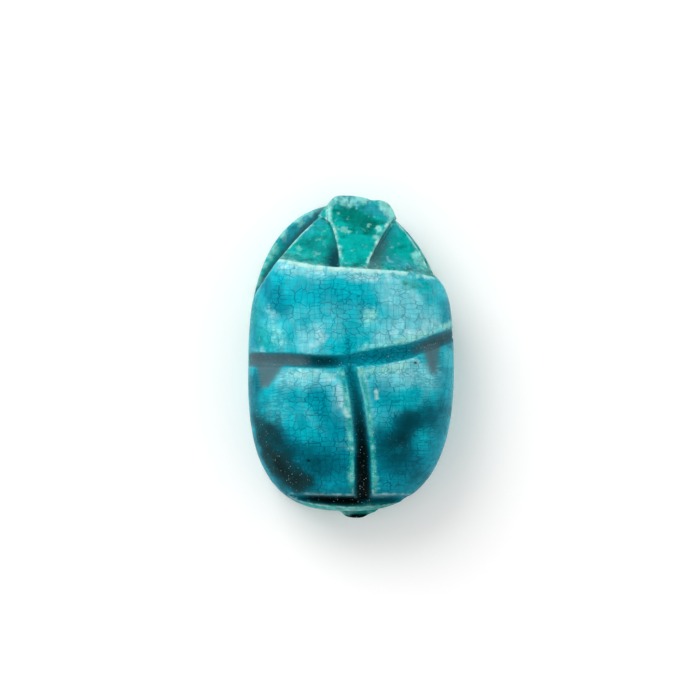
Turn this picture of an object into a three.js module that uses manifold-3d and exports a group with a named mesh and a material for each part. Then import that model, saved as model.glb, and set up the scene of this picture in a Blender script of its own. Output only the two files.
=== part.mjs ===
// Scarab amulet: one piece of glazed ceramic, carved as a beetle lying on an oval plinth rim.
// Millimetres. +X is the beetle's right seen from above with the head up, +Y is the head, +Z is up.
// The origin is the middle of the flat underside.
import * as THREE from "three";
import { mergeVertices } from "three/addons/utils/BufferGeometryUtils.js";
import Module from "manifold-3d";

const wasm = await Module();
wasm.setup();

// Driving sizes
const width = 18.8; // across the wing cases
const length = 29.4; // from the front of the head to the lip at the tail
const height = 10.6; // from the underside to the top of the back
const rimHeight = 2.0; // the plinth rim under the beetle
const rimRounding = 0.4;
const bellyAboveRim = 2.6; // where the beetle is widest
const neckDepth = 1.2; // how far the carved channel between rim and beetle goes in
const neckHeight = 1.2;
const boreDiameter = 1.9; // threading hole from head to tail
const boreAboveRim = 1.0; // its centre line
const boreAcross = 0.07; // share of the half width, towards the right
const burrWidth = 4.4; // lip pushed out under the tail end of the hole
const burrHeight = 1.5;
const crossGroove = { width: 1.15, depth: 0.62 }; // between the thorax and the wing cases
const wingGroove = { width: 1.25, depth: 0.75 }; // between the two wing cases
const tailGroove = { width: 1.0, depth: 0.75 };
const shoulderNotch = { depth: 0.3 };
const mouthNotch = { width: 0.95, depth: 0.6, reach: 1.1 };
const legThickness = 1.15;
const stepLean = 0.42; // how far the step in front of the thorax leans, for each unit of its height
const headWallLean = 0.3;
const roundSides = 80; // facets round the ovals

const halfWidth = width / 2;
const halfLength = length / 2;
const bellyHeight = rimHeight + bellyAboveRim;
const clear = 1; // how far a cutting tool runs past what it cuts

// Free-form proportions, as shares of the half width and the half length
const ovalCentre = -0.048;
const bodyOval = {
  left: 1,
  right: 1,
  front: 1.09,
  back: 0.905,
  fullness: { frontLeft: 2.25, frontRight: 2.25, backLeft: 2.85, backRight: 2.55 },
};
const rimOval = {
  left: 1,
  right: 0.97,
  front: 1,
  back: 0.91,
  fullness: { frontLeft: 2.42, frontRight: 2, backLeft: 2.85, backRight: 2.55 },
};
const domePlan = 2.1; // how the back falls away from its top to its edge
const domePower = 0.56;

const leftFlank = [[-0.945, 0.374], [-0.695, 0.61], [-0.314, 0.864]];
const rightFlank = [[0.93, 0.374], [0.777, 0.527], [0.448, 0.835]];
const headFront = [
  [-0.21, 0.962],
  [-0.148, 0.997],
  [-0.06, 1],
  [0.095, 0.992],
  [0.2, 0.97],
  [0.282, 0.972],
  [0.356, 0.953],
  [0.41, 0.908],
  [0.436, 0.874],
];
const thoraxFoot = [[-1.1, 0.63], [-0.69, 0.615], [-0.49, 0.607], [-0.16, 0.582], [0.17, 0.565],
  [0.34, 0.56], [0.57, 0.537], [0.75, 0.522], [1.1, 0.47]];
const headLeft = [[-0.11, 0.585], [-0.126, 0.678], [-0.173, 0.746], [-0.222, 0.808], [-0.33, 0.872]];
const headRight = [[0.174, 0.572], [0.222, 0.672], [0.308, 0.74], [0.377, 0.833], [0.45, 0.876]];
const crossLine = [[-1.04, -0.017], [-0.67, -0.017], [-0.26, -0.029], [-0.057, -0.022], [0.145, -0.007],
  [0.55, 0.036], [0.82, 0.1], [1.04, 0.142]];
const wingLine = [[-0.038, 0.1], [-0.025, -0.02], [0.029, -0.173], [0.063, -0.284], [0.092, -0.451],
  [0.11, -0.605], [0.116, -0.86]];
const tailLine = [[-0.6, -0.852], [-0.4, -0.871], [-0.15, -0.882], [0.09, -0.884], [0.33, -0.878],
  [0.6, -0.86]];
const shoulderMarks = [
  [[-0.89, -0.03], [-0.72, -0.05], [-0.88, -0.155]],
  [[0.67, 0.07], [0.9, 0.1], [0.8, -0.14]],
];
const mouthNotches = [-0.02, 0.165]; // places across the front of the head
const legRuns = [ // along the body: where each leg leaves the belly, and where it reaches the rim
  { hip: 0.1, foot: 0.56 },
  { hip: 0.06, foot: -0.26 },
  { hip: -0.24, foot: -0.68 },
];

// The carved flats of the head end: each is a plane through three points, [across, along, rise],
// with the rise as a share of the back above the belly
const carvedTop = height - bellyHeight;
const leftFlat = [[-0.69, 0.605, 0.19], [-0.31, 0.864, 0.07], [-0.11, 0.605, 0.48]];
const rightFlat = [[0.745, 0.53, 0.17], [0.44, 0.86, 0.05], [0.18, 0.57, 0.46]];
const headFlat = [[-0.2, 0.62, 0.65], [0.3, 0.62, 0.65], [0.1, 0.98, 0.09]];

const place = ([across, along], z = 0) =>
  new THREE.Vector3(across * halfWidth, along * halfLength, z);

// A closed solid through rings of points that all have the same number of points
function loft(rings) {
  const count = rings[0].length;
  const vertices = rings.flat();
  const faces = [];
  rings.slice(1).forEach((_, r) => {
    for (let i = 0; i < count; i++) {
      const next = (i + 1) % count;
      const [a, b] = [r * count + i, r * count + next];
      faces.push(a, b, b + count, a, b + count, a + count);
    }
  });
  [rings[0], rings.at(-1)].forEach((ring, end) => {
    const first = end * (rings.length - 1) * count;
    const middle = vertices.length;
    vertices.push(ring.reduce((sum, p) => sum.add(p), new THREE.Vector3()).divideScalar(count));
    for (let i = 0; i < count; i++) {
      const [a, b] = [first + i, first + ((i + 1) % count)];
      faces.push(middle, end ? a : b, end ? b : a);
    }
  });
  return new THREE.BufferGeometry().setFromPoints(vertices).setIndex(faces);
}

function toSolid(geometry) {
  geometry.deleteAttribute("normal");
  geometry.deleteAttribute("uv");
  const merged = mergeVertices(geometry, 1e-4);
  const triVerts = new Uint32Array(merged.index.array);
  const made = new wasm.Manifold(
    new wasm.Mesh({ numProp: 3, vertProperties: merged.attributes.position.array, triVerts }),
  );
  if (made.volume() > 0) return made;
  for (let i = 0; i < triVerts.length; i += 3) triVerts.subarray(i, i + 2).reverse();
  return new wasm.Manifold(
    new wasm.Mesh({ numProp: 3, vertProperties: merged.attributes.position.array, triVerts }),
  );
}

function toGeometry(solid) {
  const { numProp, numVert, vertProperties, triVerts } = solid.getMesh();
  const position = new Float32Array(numVert * 3);
  for (let i = 0; i < numVert; i++) {
    position.set(vertProperties.subarray(i * numProp, i * numProp + 3), i * 3);
  }
  const geometry = new THREE.BufferGeometry();
  geometry.setAttribute("position", new THREE.BufferAttribute(position, 3));
  geometry.setIndex(new THREE.BufferAttribute(triVerts, 1));
  const faceted = geometry.toNonIndexed();
  faceted.computeVertexNormals();
  return faceted;
}

// The half axes and the fullness of the quarter of an oval that holds the direction (x, y)
function quarter(oval, x, y) {
  const [end, side] = [y >= 0 ? "front" : "back", x >= 0 ? "Right" : "Left"];
  return {
    a: oval[side.toLowerCase()] * halfWidth,
    b: oval[end] * halfLength,
    n: oval.fullness[end + side],
  };
}

// 0 at an oval's centre and 1 on its outline
function ovalShare(oval, x, y) {
  const up = y - ovalCentre * halfLength;
  const { a, b, n } = quarter(oval, x, up);
  return ((Math.abs(x) / a) ** n + (Math.abs(up) / b) ** n) ** (1 / n);
}

function ovalRing(oval, share, z) {
  return Array.from({ length: roundSides }, (_, i) => {
    const angle = (i / roundSides) * 2 * Math.PI;
    const [x, y] = [Math.cos(angle), Math.sin(angle)];
    const { a, b, n } = quarter(oval, x, y);
    const radius = share / ((Math.abs(x) / a) ** n + (Math.abs(y) / b) ** n) ** (1 / n);
    return new THREE.Vector3(x * radius, y * radius + ovalCentre * halfLength, z);
  });
}

// The distance from the long axis to an oval's outline, at one place along the body
function ovalReach(oval, side, y) {
  const up = y - ovalCentre * halfLength;
  const { a, b, n } = quarter(oval, side, up);
  return a * (1 - Math.min(1, Math.abs(up) / b) ** n) ** (1 / n);
}

const backHeight = (share) => bellyHeight + carvedTop * (1 - share ** domePlan) ** domePower;
const domeHeight = (x, y) => backHeight(Math.min(1, ovalShare(bodyOval, x, y)));

function planeOver(points) {
  const corner = ([across, along, rise]) => place([across, along], bellyHeight + rise * carvedTop);
  const [p, q, r] = points.map(corner);
  const plane = new THREE.Plane().setFromCoplanarPoints(p, q, r);
  return (x, y) => -(plane.constant + plane.normal.x * x + plane.normal.y * y) / plane.normal.z;
}

function smoothLine(points, steps) {
  return new THREE.CatmullRomCurve3(points.map((p) => place(p))).getPoints(steps);
}

function rim() {
  const round = 1 - rimRounding / halfWidth;
  return toSolid(loft([
    ovalRing(rimOval, round, 0),
    ovalRing(rimOval, 1, rimRounding),
    ovalRing(rimOval, 1, rimHeight - rimRounding),
    ovalRing(rimOval, round, rimHeight),
  ]));
}

function bodyBlank() {
  const neck = 1 - neckDepth / halfWidth;
  const domeShares = [0.985, 0.955, 0.91, 0.85, 0.77, 0.67, 0.55, 0.41, 0.25, 0.12, 0.03];
  return toSolid(loft([
    ovalRing(bodyOval, neck, rimHeight / 2),
    ovalRing(bodyOval, neck, rimHeight + neckHeight / 2),
    ovalRing(bodyOval, (1 + neck) / 2, rimHeight + neckHeight),
    ovalRing(bodyOval, 1 - rimRounding / halfWidth / 2, (rimHeight + neckHeight + bellyHeight) / 2),
    ovalRing(bodyOval, 1, bellyHeight),
    ...domeShares.map((share) => ovalRing(bodyOval, share, backHeight(share))),
  ]));
}

// The circle through three plan points
function circleThrough(points) {
  const [p, q, r] = points.map((point) => place(point));
  const cross = (q.x - p.x) * (r.y - p.y) - (q.y - p.y) * (r.x - p.x);
  const [pp, qq, rr] = [p, q, r].map((v) => v.x ** 2 + v.y ** 2);
  const x = (pp * (q.y - r.y) + qq * (r.y - p.y) + rr * (p.y - q.y)) / (2 * cross);
  const y = (pp * (r.x - q.x) + qq * (p.x - r.x) + rr * (q.x - p.x)) / (2 * cross);
  const centre = new THREE.Vector3(x, y, 0);
  return { centre, radius: centre.distanceTo(p), from: p, to: r };
}

function arcThrough(points, steps) {
  const { centre, radius, from, to } = circleThrough(points);
  const [start, end] = [from, to].map((v) => Math.atan2(v.y - centre.y, v.x - centre.x));
  return Array.from({ length: steps + 1 }, (_, i) => {
    const angle = start + ((end - start) * i) / steps;
    return new THREE.Vector3(Math.cos(angle), Math.sin(angle), 0).multiplyScalar(radius).add(centre);
  });
}

// The distance from the long axis to the beetle's side, where the flank arcs narrow its front
function bodyReach(side, y) {
  const { centre, radius, from } = circleThrough(side < 0 ? leftFlank : rightFlank);
  const oval = ovalReach(bodyOval, side, y);
  if (y <= from.y) return oval;
  return Math.min(oval, side * centre.x + Math.sqrt(radius ** 2 - (y - centre.y) ** 2));
}

// The plan of the beetle's front: both flanks as carved arcs, the head's front edge, and open sides behind
function frontPlan(share) {
  const middle = place([0, ovalCentre]);
  const outline = [
    ...arcThrough(leftFlank, 12),
    ...headFront.map((p) => place(p)),
    ...arcThrough(rightFlank, 12).reverse(),
    place([1.3, 0.374]),
    place([1.3, -1.3]),
    place([-1.3, -1.3]),
    place([-1.3, 0.374]),
  ];
  return outline.map((p) => p.clone().sub(middle).multiplyScalar(share).add(middle));
}

function frontTrim() {
  const inset = 1 - neckDepth / 2 / halfWidth;
  const levels = [
    [inset, -clear],
    [inset, rimHeight + neckHeight / 2],
    [1, rimHeight + 1.5 * neckHeight],
    [1, height + clear],
  ];
  return toSolid(loft(levels.map(([share, z]) => frontPlan(share).map((p) => p.setZ(z)))));
}

// Takes everything above a plane away, inside a plan outline whose points lean back as they rise
function flatCutter(points, plane) {
  const lower = points.map(({ at }) => new THREE.Vector3(at.x, at.y, plane(at.x, at.y)));
  const upper = points.map(({ at, lean }, i) => {
    const rise = height + clear - lower[i].z;
    return new THREE.Vector3(at.x - lean.x * rise, at.y - lean.y * rise, height + clear);
  });
  return toSolid(loft([lower, upper]));
}

const upright = new THREE.Vector2();
const outside = (across, along) => ({ at: place([across, along]), lean: upright });
const foot = (p) => ({ at: p, lean: new THREE.Vector2(0, stepLean) });

function headWall(ridge, side, plane, headPlane) {
  return ridge.map((point) => {
    const p = place(point);
    const drop = Math.max(0, headPlane(p.x, p.y) - plane(p.x, p.y));
    const lean = new THREE.Vector2(side * headWallLean, 0);
    return { at: new THREE.Vector3(p.x + lean.x * drop, p.y, 0), lean };
  });
}

function headCutters() {
  const headPlane = planeOver(headFlat);
  const [leftPlane, rightPlane] = [leftFlat, rightFlat].map(planeOver);
  const feet = smoothLine(thoraxFoot, 24);
  const headStart = place(headLeft[0]).x;
  const headEnd = place(headRight[0]).x;
  const left = [
    ...feet.filter((p) => p.x < headStart - headWallLean).map(foot),
    ...headWall(headLeft, -1, leftPlane, headPlane),
    outside(-0.6, 1.2),
    outside(-1.2, 1.1),
  ];
  const right = [
    ...headWall(headRight.toReversed(), 1, rightPlane, headPlane),
    ...feet.filter((p) => p.x > headEnd + headWallLean).map(foot),
    outside(1.2, 1.1),
    outside(0.7, 1.2),
  ];
  const all = [...feet.map(foot), outside(1.2, 1.2), outside(-1.2, 1.2)];
  return [flatCutter(all, headPlane), flatCutter(left, leftPlane), flatCutter(right, rightPlane)];
}

// A rounded V along a carved line on the back, as wide and deep as taper allows at each step
function grooveCutter(line, { width: wide, depth }, taper = () => 1, steps = 30) {
  const section = [[-0.65, 1], [-0.5, 0], [-0.28, -0.75], [0, -1], [0.28, -0.75], [0.5, 0], [0.65, 1]];
  const points = smoothLine(line, steps);
  return toSolid(loft(points.map((p, i) => {
    const ahead = points[Math.min(i + 1, steps)].clone().sub(points[Math.max(i - 1, 0)]).normalize();
    const size = taper(i / steps);
    return section.map(([across, up]) => {
      const reach = across * wide * size;
      const [x, y] = [p.x + ahead.y * reach, p.y - ahead.x * reach];
      return new THREE.Vector3(x, y, domeHeight(x, y) + (up > 0 ? up * clear : up * depth * size));
    });
  })));
}

function shoulderCutter(corners) {
  const points = corners.map((p) => place(p));
  const middle = points.reduce((sum, p) => sum.add(p), new THREE.Vector3()).divideScalar(points.length);
  const ring = (spread, rise) => points.map((p) => {
    const q = p.clone().sub(middle).multiplyScalar(spread).add(middle);
    return q.setZ(domeHeight(q.x, q.y) + rise);
  });
  return toSolid(loft([ring(0.35, -shoulderNotch.depth), ring(1, 0), ring(1, clear)]));
}

// A V between two teeth of the head's front edge, deepest at the edge
function mouthCutter(across) {
  const headPlane = planeOver(headFlat);
  const { width: wide, depth, reach } = mouthNotch;
  const front = place([across, 1]);
  const section = [[-0.5, clear], [-0.5, 0], [0, -depth], [0.5, 0], [0.5, clear]];
  const ring = (back, size) => section.map(([side, up]) => {
    const [x, y] = [front.x + side * wide * size, front.y - back];
    return new THREE.Vector3(x, y, headPlane(x, y) + (up < 0 ? up * size : up));
  });
  return toSolid(loft([ring(-clear, 1), ring(reach / 2, 0.7), ring(reach, 0.15)]));
}

// One leg in low relief, folded into the channel between the belly and the rim
function leg(side, { hip, foot: end }) {
  const [steps, sides] = [10, 10];
  const radius = legThickness / 2;
  const line = new THREE.CatmullRomCurve3([0, 0.35, 0.7, 1].map((t) => {
    const y = THREE.MathUtils.lerp(hip, end, t) * halfLength;
    const z = THREE.MathUtils.lerp(bellyHeight - radius / 2, rimHeight + radius / 2, t ** 0.7);
    return new THREE.Vector3(side * (bodyReach(side, y) - 0.65 * neckDepth), y, z);
  }));
  const { normals, binormals } = line.computeFrenetFrames(steps);
  return toSolid(loft(line.getPoints(steps).map((middle, i) => {
    const size = radius * (1 - i / steps / 3);
    return Array.from({ length: sides }, (_, k) => {
      const angle = (k / sides) * 2 * Math.PI;
      const [out, up] = [normals[i].clone(), binormals[i].clone()];
      return out.multiplyScalar(size * Math.cos(angle))
        .add(up.multiplyScalar(size * Math.sin(angle)))
        .add(middle);
    });
  })));
}

function bore() {
  const cut = new THREE.CylinderGeometry(boreDiameter / 2, boreDiameter / 2, length + 2 * clear, 20);
  return toSolid(cut.translate(boreAcross * halfWidth, 0, rimHeight + boreAboveRim));
}

function burr() {
  const reach = burrHeight / 2;
  const lump = new THREE.SphereGeometry(1, 24, 14).scale(burrWidth / 2, reach, burrHeight / 2);
  const z = rimHeight + boreAboveRim - boreDiameter / 2 - burrHeight / 4;
  return toSolid(lump.translate(boreAcross * halfWidth, reach - halfLength, z));
}

function scarab() {
  const rampUp = (t) => THREE.MathUtils.clamp(0.15 + 5 * t, 0, 1);
  const lens = (t) => 0.25 + 0.75 * Math.sqrt(Math.max(0, 1 - (2 * t - 1) ** 2));
  const cuts = [
    ...headCutters(),
    grooveCutter(crossLine, crossGroove),
    grooveCutter(wingLine, wingGroove, rampUp),
    grooveCutter(tailLine, tailGroove, lens),
    ...shoulderMarks.map(shoulderCutter),
    ...mouthNotches.map(mouthCutter),
  ];
  const carved = cuts.reduce((solid, cut) => solid.subtract(cut), bodyBlank().intersect(frontTrim()));
  const legs = [-1, 1].flatMap((side) => legRuns.map((run) => leg(side, run)));
  const whole = [rim(), burr(), ...legs].reduce((solid, extra) => solid.add(extra), carved);
  return whole.subtract(bore());
}

const glaze = new THREE.MeshStandardMaterial({ color: 0x12a0b0, roughness: 0.25, metalness: 0 });
const amulet = new THREE.Mesh(toGeometry(scarab()), glaze);
amulet.name = "scarab";

const part = new THREE.Group();
part.add(amulet);

export default part;
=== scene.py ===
import math
from types import SimpleNamespace

import bpy
import numpy as np
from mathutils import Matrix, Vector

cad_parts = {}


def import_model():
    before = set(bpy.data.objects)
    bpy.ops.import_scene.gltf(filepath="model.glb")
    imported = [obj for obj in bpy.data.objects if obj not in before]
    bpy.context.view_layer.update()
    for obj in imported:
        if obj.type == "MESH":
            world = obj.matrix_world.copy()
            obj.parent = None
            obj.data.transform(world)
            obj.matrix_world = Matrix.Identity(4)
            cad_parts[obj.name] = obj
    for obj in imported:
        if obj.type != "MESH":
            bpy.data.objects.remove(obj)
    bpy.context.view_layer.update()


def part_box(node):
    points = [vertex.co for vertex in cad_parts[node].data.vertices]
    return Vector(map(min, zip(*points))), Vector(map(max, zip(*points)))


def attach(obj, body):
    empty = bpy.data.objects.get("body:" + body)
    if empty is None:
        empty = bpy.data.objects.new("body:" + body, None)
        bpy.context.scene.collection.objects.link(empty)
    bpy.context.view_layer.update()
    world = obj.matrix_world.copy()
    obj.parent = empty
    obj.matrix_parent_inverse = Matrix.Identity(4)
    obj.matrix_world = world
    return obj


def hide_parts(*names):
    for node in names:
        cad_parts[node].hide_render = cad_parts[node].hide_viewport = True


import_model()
print("frame loaded")

mm = 0.001
low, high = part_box("scarab")
halfWide, halfLong, top = high.x / mm, high.y / mm, high.z / mm

# In the dictionaries below, heights, widths and depths are in millimetres, and places across and along
# the beetle are shares of its half width and half length. Fullness is of the front left, front right,
# back left and back right quarter of an oval.
body = {
    "centre": -0.048,
    "ends": (1.09, 0.905),           # front and back reach, seen from the centre
    "sides": (1.0, 1.0),
    "fullness": (2.25, 2.25, 2.85, 2.55),
    "belly": 4.6,                    # height where the beetle is widest
    "neckTop": 2.6,
    "neckDepth": 1.2,
    "planPower": 2.1,
    "risePower": 0.56,
    "leftFlank": ((-0.945, 0.374), (-0.695, 0.61), (-0.314, 0.864)),
    "rightFlank": ((0.93, 0.374), (0.777, 0.527), (0.448, 0.835)),      # the right legs follow this one
    "rightPlate": ((0.765, 0.521), (0.592, 0.722), (0.447, 0.83)),
    "rightShoulder": ((0.957, 0.36), (0.885, 0.453), (0.79, 0.517)),
    "edgeSoftness": 0.14,
    "trimSoftness": 0.25,
    "neckTrim": 0.65,                # how much of the neck's depth the trimmed flanks follow
    "foot": 1.0,                     # the beetle starts inside the rim, at this height
}
rim = {
    "centre": -0.048,
    "ends": (1.0, 0.91),
    "sides": (1.0, 0.97),
    "fullness": (2.42, 2.0, 2.85, 2.55),
    "height": 2.0,
    "rounding": 0.4,
    "fillet": 0.3,                   # glaze pooled where the neck meets the rim
}
head = {
    "front": ((-0.33, 0.868), (-0.21, 0.962), (-0.148, 0.994), (-0.06, 0.999), (0.095, 0.992), (0.2, 0.972),
              (0.282, 0.972), (0.356, 0.953), (0.41, 0.908), (0.446, 0.85)),
    "leftRidge": ((-0.11, 0.56), (-0.12, 0.642), (-0.145, 0.722), (-0.18, 0.796), (-0.225, 0.84),
                  (-0.33, 0.876)),
    "rightRidge": ((0.155, 0.56), (0.213, 0.642), (0.266, 0.706), (0.335, 0.783), (0.39, 0.836),
                   (0.45, 0.874)),
    # where the back breaks off in a step above the head and the plates beside it
    "stepEdge": ((-1.1, 0.64), (-0.69, 0.6), (-0.49, 0.574), (-0.28, 0.553), (0.13, 0.536), (0.5, 0.521),
                 (0.75, 0.494), (1.1, 0.44)),
    "stepLean": 0.42,
    "chipping": 0.3,
    "wallLean": 0.3,
    "plateLap": 0.2,                 # how far the plates run in under the head
    "plateFall": 9,
    "flatSoftness": 0.25,
    "stepSoftness": 0.6,
    # each carved flat goes through three points: across, along, and rise as a share of the back's height
    "flat": ((-0.2, 0.62, 0.55), (0.3, 0.62, 0.55), (0.1, 0.98, 0.09)),
    "leftFlat": ((-0.69, 0.605, 0.19), (-0.31, 0.864, 0.07), (-0.11, 0.605, 0.48)),
    "rightFlat": ((0.745, 0.53, 0.17), (0.44, 0.86, 0.05), (0.18, 0.57, 0.46)),
    "notches": (-0.02, 0.165),
    "notchWidth": 0.95,
    "notchDepth": 0.22,
    "notchReach": 1.2,
    "lobes": (-0.21, 0.3),          # the head's two front corners fall away beyond these
    "lobeStart": 0.8,
    "lobeFall": (1.1, 0.7),
}
grooves = {
    "cross": ((-1.04, -0.017), (-0.67, -0.017), (-0.26, -0.029), (-0.057, -0.022), (0.145, -0.007),
              (0.55, 0.036), (0.82, 0.1), (1.04, 0.142)),
    "crossWidth": ((-1, 1.35), (-0.1, 1.25), (0.35, 1.6), (0.85, 1.35)),    # across, and width there
    "crossDepth": 0.62,
    "wing": ((-0.038, 0.1), (-0.025, -0.02), (0.029, -0.173), (0.063, -0.284), (0.092, -0.451),
             (0.11, -0.605), (0.116, -0.86)),
    "wingWidth": (1.15, 1.6),        # front, back
    "wingDepth": 0.75,
    "tail": ((-0.6, -0.852), (-0.4, -0.871), (-0.15, -0.882), (0.09, -0.884), (0.33, -0.878), (0.6, -0.86)),
    "tailWidth": 1.0,
    "tailDepth": 0.75,
    "wedges": (((-0.9, -0.02), (-0.62, -0.03), (-0.79, -0.18), (-0.86, -0.18)),
               ((0.68, 0.07), (0.86, 0.09), (0.815, -0.1), (0.77, -0.1))),
    "wedgeDepth": 0.3,
    "meeting": 0.1,                  # softness where two grooves meet
    "fadeIn": (3.8, 2.2),            # height where the carving begins, and over how much it deepens
    "spread": 1.1,
    "bluntness": 0.85,
}
legs = {
    "runs": ((0.1, 0.56), (0.06, -0.26), (-0.24, -0.68)),   # hip and foot along the body
    "thickness": 1.15,
    "hatching": 5,                   # shallow cuts across each leg
    "hatchDepth": 0.09,
    "fillet": 0.16,
}
hole = {"across": 0.07, "height": 3.0, "diameter": 1.9, "flare": 0.22, "flareDepth": 2, "edge": 0.12}
burr = {"width": 3.1, "height": 1.5, "roughness": 0.5, "setBack": 0.12, "fillet": 0.5}
underside = {
    "border": 0.87,                  # share of the rim's outline
    "strokeWidth": 0.44,
    "strokeDepth": 0.22,
    "rows": (-0.66, -0.44, -0.22, 0.22, 0.44, 0.66),
    "spacing": 1.7,
    "leans": (-0.5, 0, 0.5),
    "halfLengths": (0.45, 0.75),
    "reach": 0.72,                   # of the rows, as a share of the half width
    "margin": 0.09,                  # kept clear inside the border, as a share of the outline
    "seed": 11,
}
surface = {
    "step": 0.154,                   # between the skin's points
    "unevenness": 0.09,
    "lumps": ((0.6, 2.6), (0.25, 0.8), (0.15, 0.4)),        # share and size of each kind
    "lattice": 24,                   # random values along each side of the noise
    "seed": 5,
}


def clipped(t):
    return np.clip(t, 0.0, 1.0)


def ease(t):
    t = clipped(t)
    return t * t * (3 - 2 * t)


def past(value, start, width):         # 0 up to start, 1 from one width beyond it
    return ease((value - start) / width)


def before(value, end, width):         # 1 up to one width before end, 0 from there on
    return ease((end - value) / width)


def band(value, middle, width):        # 1 in the middle, fading out to both sides
    return np.exp(-(((value - middle) / width) ** 2))


def smoothMax(a, b, softness):
    share = clipped(0.5 + 0.5 * (a - b) / softness)
    return b + (a - b) * share + softness * share * (1 - share)


def smoothMin(a, b, softness):
    return -smoothMax(-a, -b, softness)


lattice = np.random.default_rng(surface["seed"]).random([surface["lattice"]] * 3)


def noise(x, y, z, size):              # smooth random values from 0 to 1, in lumps of that size
    places = [v / size + 97.3 for v in (x, y, z)]
    whole = [np.floor(v).astype(int) for v in places]
    part = [ease(v - w) for v, w in zip(places, whole)]
    total = 0
    for corner in np.ndindex(2, 2, 2):
        weight = 1
        for p, c in zip(part, corner):
            weight = weight * (p if c else 1 - p)
        i, j, k = ((w + c) % surface["lattice"] for w, c in zip(whole, corner))
        total = total + weight * lattice[i, j, k]
    return total


def toPlan(points):
    return np.array(points, float)[:, :2] * (halfWide, halfLong)


def curveThrough(points, steps=8):     # Catmull-Rom, in millimetres
    p = toPlan(points)
    p = np.vstack((2 * p[0] - p[1], p, 2 * p[-1] - p[-2]))
    t = np.linspace(0, 1, steps, endpoint=False)[:, None]
    pieces = []
    for a, b, c, d in zip(p, p[1:], p[2:], p[3:]):
        square, cube = 2 * a - 5 * b + 4 * c - d, 3 * (b - c) + d - a
        pieces.append(0.5 * (2 * b + (c - a) * t + square * t**2 + cube * t**3))
    return np.vstack((*pieces, p[-2:-1]))


def lineOver(points, key):             # a carved line as a function of x (key 0) or of y (key 1)
    line = curveThrough(points)
    line = line[np.argsort(line[:, key])]
    return lambda v: np.interp(v, line[:, key], line[:, 1 - key])


def segmentDistance(x, y, a, b):
    dx, dy = b[0] - a[0], b[1] - a[1]
    t = clipped(((x - a[0]) * dx + (y - a[1]) * dy) / (dx * dx + dy * dy))
    return np.hypot(x - a[0] - t * dx, y - a[1] - t * dy)


def polygonDistance(x, y, corners):    # below zero inside
    distance = np.full(np.broadcast(x, y).shape, 1e3)
    inside = np.zeros(distance.shape, bool)
    for a, b in zip(corners, np.roll(corners, -1, axis=0)):
        distance = np.minimum(distance, segmentDistance(x, y, a, b))
        crossing = (a[1] > y) != (b[1] > y)
        inside ^= crossing & (x < (b[0] - a[0]) * (y - a[1]) / (b[1] - a[1] + 1e-12) + a[0])
    return np.where(inside, -distance, distance)


def planeOver(points):
    across, along, rise = np.array(points, float).T
    z = body["belly"] + rise * (top - body["belly"])
    matrix = np.column_stack((across * halfWide, along * halfLong, np.ones(3)))
    slopeX, slopeY, level = np.linalg.solve(matrix, z)
    return lambda x, y: slopeX * x + slopeY * y + level


def circleThrough(points):
    (ax, ay), (bx, by), (cx, cy) = toPlan(points)
    matrix = 2 * np.array(((bx - ax, by - ay), (cx - ax, cy - ay)))
    centre = np.linalg.solve(matrix, (bx**2 - ax**2 + by**2 - ay**2, cx**2 - ax**2 + cy**2 - ay**2))
    return centre, math.hypot(ax - centre[0], ay - centre[1])


def ovalQuarter(oval, x, up):
    a = np.where(x < 0, oval["sides"][0], oval["sides"][1]) * halfWide
    b = np.where(up < 0, oval["ends"][1], oval["ends"][0]) * halfLong
    frontLeft, frontRight, backLeft, backRight = oval["fullness"]
    back, front = np.where(x < 0, backLeft, backRight), np.where(x < 0, frontLeft, frontRight)
    return a, b, np.where(up < 0, back, front)


def ovalShare(oval, x, y):             # 1 on the outline, and the way from the centre to the outline
    up = y - oval["centre"] * halfLong
    a, b, n = ovalQuarter(oval, x, up)
    share = np.maximum(((np.abs(x) / a) ** n + (np.abs(up) / b) ** n) ** (1 / n), 1e-4)
    return share, np.maximum(np.hypot(x, up), 1e-3) / share


def sideReach(side, y):                # from the long axis to the beetle's side
    up = y - body["centre"] * halfLong
    a, b, n = ovalQuarter(body, np.full_like(up, side), up)
    oval = a * (1 - np.minimum(1, np.abs(up) / b) ** n) ** (1 / n)
    centre, radius = circles[side]
    flank = side * centre[0] + np.sqrt(np.maximum(radius**2 - (y - centre[1]) ** 2, 0))
    return np.minimum(oval, flank)


circles = {-1: circleThrough(body["leftFlank"]), 1: circleThrough(body["rightFlank"])}
rightPlate, rightShoulder = circleThrough(body["rightPlate"]), circleThrough(body["rightShoulder"])
headFlat, leftFlat, rightFlat = (planeOver(head[name]) for name in ("flat", "leftFlat", "rightFlat"))
stepEdge = lineOver(head["stepEdge"], 0)
leftRidge, rightRidge = lineOver(head["leftRidge"], 1), lineOver(head["rightRidge"], 1)
crossLine, tailLine = lineOver(grooves["cross"], 0), lineOver(grooves["tail"], 0)
wingLine = lineOver(grooves["wing"], 1)
headOutline = np.vstack((curveThrough(head["front"], 4), toPlan(((0.25, 0.75), (-0.12, 0.75)))))
wedgeCorners = [toPlan(corners) for corners in grooves["wedges"]]


def neckInset(z):
    return body["neckDepth"] * ease((body["belly"] - z) / (body["belly"] - body["neckTop"]))


def backField(x, y, z):
    share, reach = ovalShare(body, x, y)
    planPower, risePower = body["planPower"], 1 / body["risePower"]
    tall = top - body["belly"]
    rise = np.clip((z - body["belly"]) / tall, 0, 1.4)
    outward = planPower * share ** (planPower - 1) / reach
    upward = risePower * rise ** (risePower - 1) / tall
    dome = (share**planPower + rise**risePower - 1) / np.maximum(np.hypot(outward, upward), 0.04)
    return np.where(z > body["belly"], dome, (share - 1) * reach + neckInset(z))


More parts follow.
